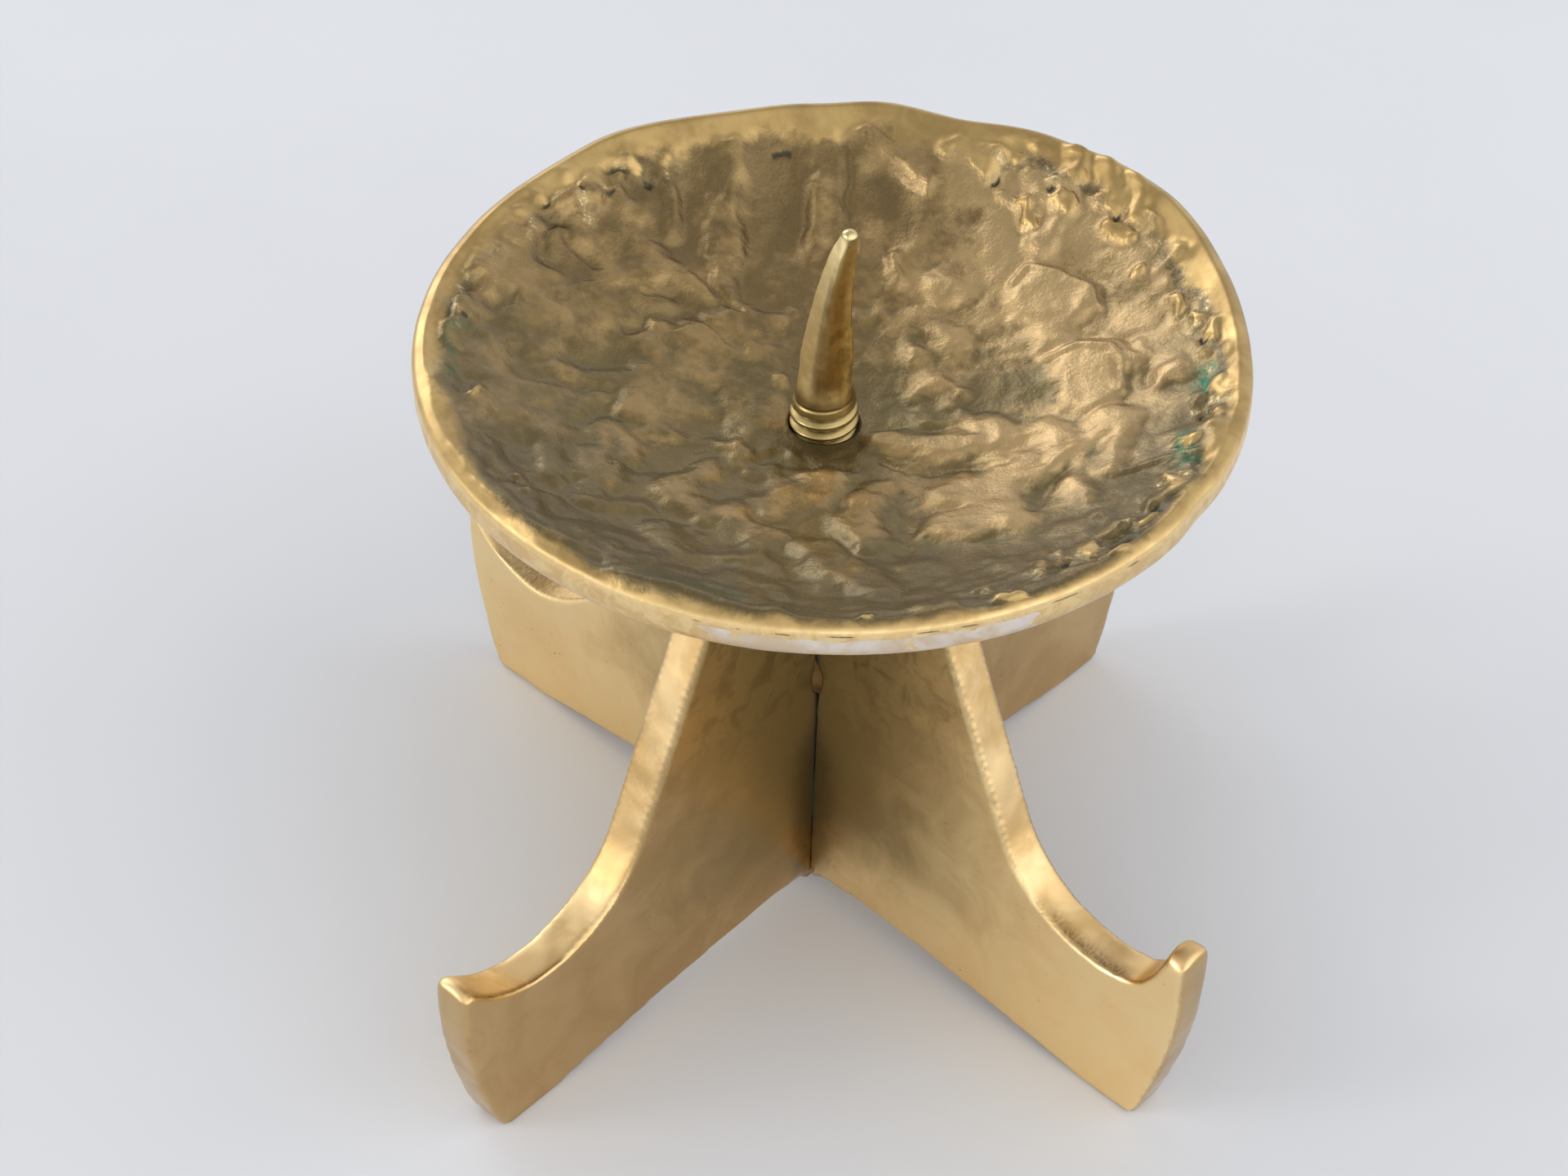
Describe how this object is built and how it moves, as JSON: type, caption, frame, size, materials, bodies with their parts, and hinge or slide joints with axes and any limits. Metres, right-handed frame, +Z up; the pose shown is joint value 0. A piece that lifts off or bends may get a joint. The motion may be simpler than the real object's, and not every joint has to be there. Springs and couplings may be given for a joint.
{
  "type": "pricket candle stand",
  "caption": "Free-standing brass candle stand: crossed flat leg plates with upturned toes carry a round cast drip pan with a thorn-shaped pricket.",
  "frame": {"origin": "middle of the four feet, on the surface that the stand rests on", "axes": "+Z up along the pricket, +X along the upper leg plate, +Y along the lower leg plate"},
  "size_m": [0.124, 0.124, 0.1036],
  "materials": {
    "cast_pan": "cast, brown patina with rubbed high spots and a polished lip",
    "filed_rod": "filed, warm satin",
    "leg_plate": "satin polish with brown patina in the crossing"
  },
  "bodies": {
    "stand": {"leg_plate_lower": "leg_plate", "leg_plate_upper": "leg_plate", "drip_pan": "cast_pan"},
    "pricket": {"pricket": "filed_rod"}
  },
  "joints": [
    {"name": "pricket_unscrew", "type": "slide", "parent": "stand", "child": "pricket", "axis": [0, 0, 1], "range_m": [0, 0.036]}
  ]
}
